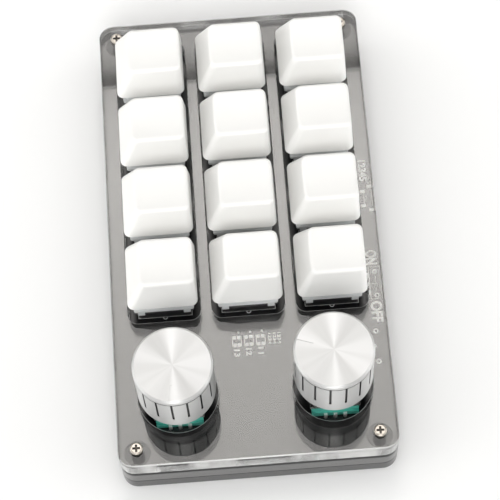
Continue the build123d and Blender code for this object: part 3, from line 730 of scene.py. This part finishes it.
# Rotary encoders: teal moulded bodies under a pressed metal frame with its bushing and shaft,
# held to the board by tinned pins.
encoder_green = moulded_plastic(
    "encoder_green", (0.06, 0.4, 0.32), (0.1, 0.47, 0.39), (0.25, 0.35), 3000.0, 0.000006)
pin_tin = moulded_plastic(
    "pin_tin", (0.74, 0.74, 0.72), (0.84, 0.84, 0.82), (0.25, 0.4), 2500.0, 0.000008, 400.0)
pin_tin.node_tree.nodes["Principled BSDF"].inputs["Metallic"].default_value = 0.6
encoder_steel = plated_metal(
    "encoder_steel", (0.55, 0.55, 0.53), (0.68, 0.68, 0.66), (0.2, 0.34), 1300.0, 6.0)
for side in ("left", "right"):
    finish_nodes(encoder_green, f"{side}_encoder_body")
    finish_nodes(pin_tin, f"{side}_encoder_pins")
    finish_nodes(encoder_steel, f"{side}_encoder_frame", f"{side}_encoder_shaft")
    finish_nodes(switch_black, f"{side}_push_plunger")

# Knobs: turned aluminium cups with a spun face, a smooth band, a ring groove and sixteen thin
# flutes, clear anodised. The lathe leaves fine rings; the soft rays on the face are painted
# highlights, the side is painted greyer as painted shade, and the flute cuts are painted dark as
# painted shade.
band_drop = 1.7 * MM
flute_cut = (0.12 * MM, 0.06 * MM)


def make_spun_lines():
    """Rays round an axis as a shade for painted highlights, and lathe rings as a height and a roughness."""
    group, given, result = new_group(
        "spun_lines",
        {"Middle X": 0.0, "Middle Y": 0.0, "Ray Scale": 1.7, "Ring Scale": 6000.0, "Rough Low": 0.4,
         "Rough High": 0.5},
        ("Shade", "Height", "Roughness", "Reach"),
    )
    place = group.nodes.new("ShaderNodeTexCoord")
    middle = group.nodes.new("ShaderNodeCombineXYZ")
    arm = group.nodes.new("ShaderNodeVectorMath")
    flat = group.nodes.new("ShaderNodeVectorMath")
    turn = group.nodes.new("ShaderNodeVectorMath")
    reach = group.nodes.new("ShaderNodeVectorMath")
    painted_rays = group.nodes.new("ShaderNodeTexNoise")
    ring = group.nodes.new("ShaderNodeTexNoise")
    spread = group.nodes.new("ShaderNodeMapRange")
    arm.operation = "SUBTRACT"
    flat.operation = "MULTIPLY"
    flat.inputs[1].default_value = (1.0, 1.0, 0.0)
    turn.operation = "NORMALIZE"
    reach.operation = "LENGTH"
    painted_rays.inputs["Detail"].default_value = 1.5
    ring.noise_dimensions = "1D"
    ring.inputs["Detail"].default_value = 2.0
    group.links.new(given.outputs["Middle X"], middle.inputs["X"])
    group.links.new(given.outputs["Middle Y"], middle.inputs["Y"])
    group.links.new(place.outputs["Object"], arm.inputs[0])
    group.links.new(middle.outputs["Vector"], arm.inputs[1])
    group.links.new(arm.outputs["Vector"], flat.inputs[0])
    group.links.new(flat.outputs["Vector"], turn.inputs[0])
    group.links.new(flat.outputs["Vector"], reach.inputs[0])
    group.links.new(turn.outputs["Vector"], painted_rays.inputs["Vector"])
    group.links.new(given.outputs["Ray Scale"], painted_rays.inputs["Scale"])
    group.links.new(reach.outputs["Value"], ring.inputs["W"])
    group.links.new(given.outputs["Ring Scale"], ring.inputs["Scale"])
    group.links.new(ring.outputs["Fac"], spread.inputs["Value"])
    group.links.new(given.outputs["Rough Low"], spread.inputs["To Min"])
    group.links.new(given.outputs["Rough High"], spread.inputs["To Max"])
    group.links.new(reach.outputs["Value"], result.inputs["Reach"])
    group.links.new(painted_rays.outputs["Fac"], result.inputs["Shade"])
    group.links.new(ring.outputs["Fac"], result.inputs["Height"])
    group.links.new(spread.outputs["Result"], result.inputs["Roughness"])
    return group


spun_lines = make_spun_lines()


def spun_metal(name, middle, rim_radius, band_height):
    """Satin aluminium turned about one axis, with painted highlight rays, a side painted greyer as painted
    shade and painted shade in the cuts there.
    """
    material = bpy.data.materials.new(name)
    material.use_nodes = True
    tree = material.node_tree
    shader = tree.nodes["Principled BSDF"]
    shader.inputs["Metallic"].default_value = 0.88
    shader.inputs["Anisotropic"].default_value = 0.9
    shader.inputs["Anisotropic Rotation"].default_value = 0.25
    spun = tree.nodes.new("ShaderNodeGroup")
    spun.node_tree = spun_lines
    spun.inputs["Middle X"].default_value = middle.x
    spun.inputs["Middle Y"].default_value = middle.y
    # painted highlight: rays round the axis lighten and darken the colour in soft sectors
    ramp = tree.nodes.new("ShaderNodeValToRGB")
    ramp.color_ramp.elements[0].position = 0.35
    ramp.color_ramp.elements[1].position = 0.62
    ramp.color_ramp.elements[0].color = (0.67, 0.67, 0.665, 1.0)
    ramp.color_ramp.elements[1].color = (0.77, 0.77, 0.77, 1.0)
    bump = tree.nodes.new("ShaderNodeBump")
    bump.inputs["Distance"].default_value = 0.000003
    around = tree.nodes.new("ShaderNodeTangent")
    around.direction_type = "RADIAL"
    around.axis = "Z"
    flute_shade_mask = tree.nodes.new("ShaderNodeMapRange")
    flute_shade_mask.inputs["From Min"].default_value = rim_radius - flute_cut[0]
    flute_shade_mask.inputs["From Max"].default_value = rim_radius - flute_cut[1]
    flute_shade_mask.inputs["To Min"].default_value = 1.0
    flute_shade_mask.inputs["To Max"].default_value = 0.0
    facing = tree.nodes.new("ShaderNodeNewGeometry")
    split = tree.nodes.new("ShaderNodeSeparateXYZ")
    # painted shade: the side, picked out by its facing, gets a greyer colour than the face
    side = tree.nodes.new("ShaderNodeMix")
    side.data_type = "RGBA"
    side.inputs["A"].default_value = (0.6, 0.6, 0.595, 1.0)
    # painted shade: the flute cuts and groove below the band are coloured near black
    painted_shade_mask = tree.nodes.new("ShaderNodeMath")
    painted_shade_mask.operation = "MULTIPLY"
    dull_and_shade = tree.nodes.new("ShaderNodeMix")
    dull_and_shade.data_type = "RGBA"
    dull_and_shade.inputs["B"].default_value = (0.06, 0.06, 0.06, 1.0)
    tree.links.new(facing.outputs["True Normal"], split.inputs["Vector"])
    tree.links.new(split.outputs["Z"], side.inputs["Factor"])
    tree.links.new(spun.outputs["Reach"], flute_shade_mask.inputs["Value"])
    tree.links.new(flute_shade_mask.outputs["Result"], painted_shade_mask.inputs[0])
    tree.links.new(above(tree, band_height, 1.0, 0.0), painted_shade_mask.inputs[1])
    tree.links.new(spun.outputs["Shade"], ramp.inputs["Fac"])
    tree.links.new(ramp.outputs["Color"], side.inputs["B"])
    tree.links.new(side.outputs["Result"], dull_and_shade.inputs["A"])
    tree.links.new(painted_shade_mask.outputs["Value"], dull_and_shade.inputs["Factor"])
    tree.links.new(dull_and_shade.outputs["Result"], shader.inputs["Base Color"])
    tree.links.new(spun.outputs["Roughness"], shader.inputs["Roughness"])
    tree.links.new(spun.outputs["Height"], bump.inputs["Height"])
    tree.links.new(bump.outputs["Normal"], shader.inputs["Normal"])
    tree.links.new(around.outputs["Tangent"], shader.inputs["Tangent"])
    return material


for side, place in zip(("left", "right"), knob_places):
    knob_low, knob_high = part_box(f"{side}_knob")
    knob_finish = spun_metal(
        f"{side}_knob_aluminium", place, (knob_high.x - knob_low.x) / 2, knob_high.z - band_drop)
    finish_nodes(knob_finish, f"{side}_knob")

# Floor: a plain white sweep under the feet, matt enough to show no mirror image. It keeps the
# keypad's soft shadow.
floor_size = 4.0
floor_mesh = bpy.data.meshes.new("floor")
floor_mesh.from_pydata(
    [(x * floor_size / 2, y * floor_size / 2, 0) for x, y in ((-1, -1), (1, -1), (1, 1), (-1, 1))],
    [], [(0, 1, 2, 3)])
floor = bpy.data.objects.new("floor", floor_mesh)
bpy.context.scene.collection.objects.link(floor)
floor_white = bpy.data.materials.new("floor_white")
floor_white.use_nodes = True
floor_shader = floor_white.node_tree.nodes["Principled BSDF"]
floor_shader.inputs["Base Color"].default_value = (0.97, 0.97, 0.97, 1.0)
floor_shader.inputs["Roughness"].default_value = 0.9
floor_shader.inputs["Specular IOR Level"].default_value = 0.1
floor_mesh.materials.append(floor_white)

# Light: one broad panel overhead and behind, brightest in its middle, with a dark seam before its
# far end; round it a white tent that is brightest in front, with a bright wing low down on either
# side and a soft lamp in front.
panel_height = 0.9
panel_half_width = 0.18
panel_near = 0.1
panel_far = 0.6
panel_radiance = 5.0
panel_tint = (1.0, 0.975, 0.945)
panel_levels = (
    (0.1, 0.65), (0.221, 0.715), (0.3, 0.75), (0.38, 0.85), (0.45, 0.95), (0.49, 0.925), (0.52, 0.825),
    (0.5264, 0.75), (0.5275, 0.06), (0.535, 0.11), (0.545, 0.46), (0.558, 0.65), (0.6, 0.65))
panel_mesh = bpy.data.meshes.new("light_panel")
panel_mesh.from_pydata(
    [(x * panel_half_width, y, panel_height) for x, y in
     ((-1, panel_near), (-1, panel_far), (1, panel_far), (1, panel_near))], [], [(0, 1, 2, 3)])
panel = bpy.data.objects.new("light_panel", panel_mesh)
bpy.context.scene.collection.objects.link(panel)
panel_glow = bpy.data.materials.new("panel_glow")
panel_glow.use_nodes = True
glow_tree = panel_glow.node_tree
glow_tree.nodes.remove(glow_tree.nodes["Principled BSDF"])
glow = glow_tree.nodes.new("ShaderNodeEmission")
glow.inputs["Strength"].default_value = panel_radiance
glow_place = glow_tree.nodes.new("ShaderNodeTexCoord")
glow_split = glow_tree.nodes.new("ShaderNodeSeparateXYZ")
glow_span = glow_tree.nodes.new("ShaderNodeMapRange")
glow_span.inputs["From Min"].default_value = panel_near
glow_span.inputs["From Max"].default_value = panel_far
glow_ramp = glow_tree.nodes.new("ShaderNodeValToRGB")


def set_ramp(ramp, levels, tint=(1.0, 1.0, 1.0)):
    """Writes a row of places and levels of one tint into a ramp."""
    while len(ramp.elements) < len(levels):
        ramp.elements.new(1.0)
    for element, (place, level) in zip(ramp.elements, levels):
        element.position = place
        element.color = (*(level * share for share in tint), 1.0)


set_ramp(glow_ramp.color_ramp, [
    ((place - panel_near) / (panel_far - panel_near), level) for place, level in panel_levels],
    panel_tint)
glow_tree.links.new(glow_place.outputs["Object"], glow_split.inputs["Vector"])
glow_tree.links.new(glow_split.outputs["Y"], glow_span.inputs["Value"])
glow_tree.links.new(glow_span.outputs["Result"], glow_ramp.inputs["Fac"])
glow_tree.links.new(glow_ramp.outputs["Color"], glow.inputs["Color"])
glow_tree.links.new(glow.outputs["Emission"], glow_tree.nodes["Material Output"].inputs["Surface"])
panel_mesh.materials.append(panel_glow)

room = bpy.data.worlds.new("room")
room.use_nodes = True
tent_back = 0.3
tent_front = 2.0
tent_towards = Vector((-0.3, -0.954, 0.0))
tent_levels = ((0.0, 0.5), (0.35, 0.4), (0.65, 0.55), (0.83, 0.9), (0.92, 0.12), (1.0, 0.05))
wing_levels = ((0.0, 2.3), (0.35, 0.95), (0.65, 0.55), (0.9, 0.45), (1.0, 0.1))
wing_edges = (math.radians(58), math.radians(74))
lamp_light = 6.2
lamp_towards = Vector((-0.05, -0.68, 0.73))
lamp_edges = (math.radians(16), math.radians(6))
room_tree = room.node_tree
background = room_tree.nodes["Background"]
background.inputs["Color"].default_value = (1.0, 1.0, 0.99, 1.0)
room_place = room_tree.nodes.new("ShaderNodeTexCoord")
room_split = room_tree.nodes.new("ShaderNodeSeparateXYZ")
room_ramp = room_tree.nodes.new("ShaderNodeValToRGB")
set_ramp(room_ramp.color_ramp, tent_levels)
wing_flat = room_tree.nodes.new("ShaderNodeVectorMath")
wing_flat.operation = "MULTIPLY"
wing_flat.inputs[1].default_value = (1.0, 1.0, 0.0)
wing_turn = room_tree.nodes.new("ShaderNodeVectorMath")
wing_turn.operation = "NORMALIZE"
wing_split = room_tree.nodes.new("ShaderNodeSeparateXYZ")
wing_fold = room_tree.nodes.new("ShaderNodeMath")
wing_fold.operation = "ABSOLUTE"
wing_reach = room_tree.nodes.new("ShaderNodeMapRange")
wing_reach.interpolation_type = "SMOOTHSTEP"
wing_reach.inputs["From Min"].default_value = math.sin(wing_edges[0])
wing_reach.inputs["From Max"].default_value = math.sin(wing_edges[1])
wing_ramp = room_tree.nodes.new("ShaderNodeValToRGB")
set_ramp(wing_ramp.color_ramp, wing_levels)
wings = room_tree.nodes.new("ShaderNodeMath")
wings.operation = "MULTIPLY_ADD"
room_tree.links.new(room_place.outputs["Generated"], wing_flat.inputs[0])
room_tree.links.new(wing_flat.outputs["Vector"], wing_turn.inputs[0])
room_tree.links.new(wing_turn.outputs["Vector"], wing_split.inputs["Vector"])
room_tree.links.new(wing_split.outputs["X"], wing_fold.inputs[0])
room_tree.links.new(wing_fold.outputs["Value"], wing_reach.inputs["Value"])
room_tree.links.new(room_split.outputs["Z"], wing_ramp.inputs["Fac"])
room_tree.links.new(wing_reach.outputs["Result"], wings.inputs[0])
room_tree.links.new(wing_ramp.outputs["Color"], wings.inputs[1])
room_side = room_tree.nodes.new("ShaderNodeVectorMath")
room_side.operation = "DOT_PRODUCT"
room_side.inputs[1].default_value = tent_towards
room_front = room_tree.nodes.new("ShaderNodeMapRange")
room_front.inputs["From Min"].default_value = -1.0
room_front.inputs["From Max"].default_value = 1.0
room_front.inputs["To Min"].default_value = tent_back
room_front.inputs["To Max"].default_value = tent_front
room_level = room_tree.nodes.new("ShaderNodeMath")
room_level.operation = "MULTIPLY_ADD"
room_lamp = room_tree.nodes.new("ShaderNodeVectorMath")
room_lamp.operation = "DOT_PRODUCT"
room_lamp.inputs[1].default_value = lamp_towards
lamp_spot = room_tree.nodes.new("ShaderNodeMapRange")
lamp_spot.interpolation_type = "SMOOTHSTEP"
lamp_spot.inputs["From Min"].default_value = math.cos(lamp_edges[0])
lamp_spot.inputs["From Max"].default_value = math.cos(lamp_edges[1])
lamp_spot.inputs["To Max"].default_value = lamp_light
rays = room_tree.nodes.new("ShaderNodeLightPath")
shown = room_tree.nodes.new("ShaderNodeMix")
shown.inputs["B"].default_value = 1.0
room_tree.links.new(room_place.outputs["Generated"], room_split.inputs["Vector"])
room_tree.links.new(room_split.outputs["Z"], room_ramp.inputs["Fac"])
room_tree.links.new(room_place.outputs["Generated"], room_side.inputs[0])
room_tree.links.new(room_side.outputs["Value"], room_front.inputs["Value"])
room_tree.links.new(room_ramp.outputs["Color"], room_level.inputs[0])
room_tree.links.new(room_front.outputs["Result"], room_level.inputs[1])
room_tree.links.new(room_place.outputs["Generated"], room_lamp.inputs[0])
room_tree.links.new(room_lamp.outputs["Value"], lamp_spot.inputs["Value"])
room_tree.links.new(lamp_spot.outputs["Result"], wings.inputs[2])
room_tree.links.new(wings.outputs["Value"], room_level.inputs[2])
room_tree.links.new(room_level.outputs["Value"], shown.inputs["A"])
room_tree.links.new(rays.outputs["Is Camera Ray"], shown.inputs["Factor"])
room_tree.links.new(shown.outputs["Result"], background.inputs["Strength"])
bpy.context.scene.world = room
bpy.context.scene.cycles.max_bounces = 20
bpy.context.scene.cycles.glossy_bounces = 16
bpy.context.scene.cycles.transmission_bounces = 20

# Camera: the photograph's steep view from the knob end, with its slight roll and the long lens
# that was fitted to it.
view_sensor = 36.0
view_lens = 138.09
view_azimuth = math.radians(0.197)
view_elevation = math.radians(66.548)
view_roll = math.radians(-4.13)
view_distance = 509.48 * MM
view_target = Vector((1.529 * MM, -4.635 * MM, board_high.z))
forward = Vector((math.sin(view_azimuth) * math.cos(view_elevation),
                  math.cos(view_azimuth) * math.cos(view_elevation), -math.sin(view_elevation)))
level_right = forward.cross(Vector((0, 0, 1))).normalized()
level_up = level_right.cross(forward)
right = level_right * math.cos(view_roll) + level_up * math.sin(view_roll)
up = level_up * math.cos(view_roll) - level_right * math.sin(view_roll)
camera_data = bpy.data.cameras.new("camera")
camera_data.sensor_width = view_sensor
camera_data.lens = view_lens
camera = bpy.data.objects.new("camera", camera_data)
camera.matrix_world = Matrix.Translation(view_target - forward * view_distance) @ Matrix(
    (right, up, -forward)).transposed().to_4x4()
bpy.context.scene.collection.objects.link(camera)
bpy.context.scene.camera = camera
bpy.context.scene.view_settings.view_transform = "Standard"
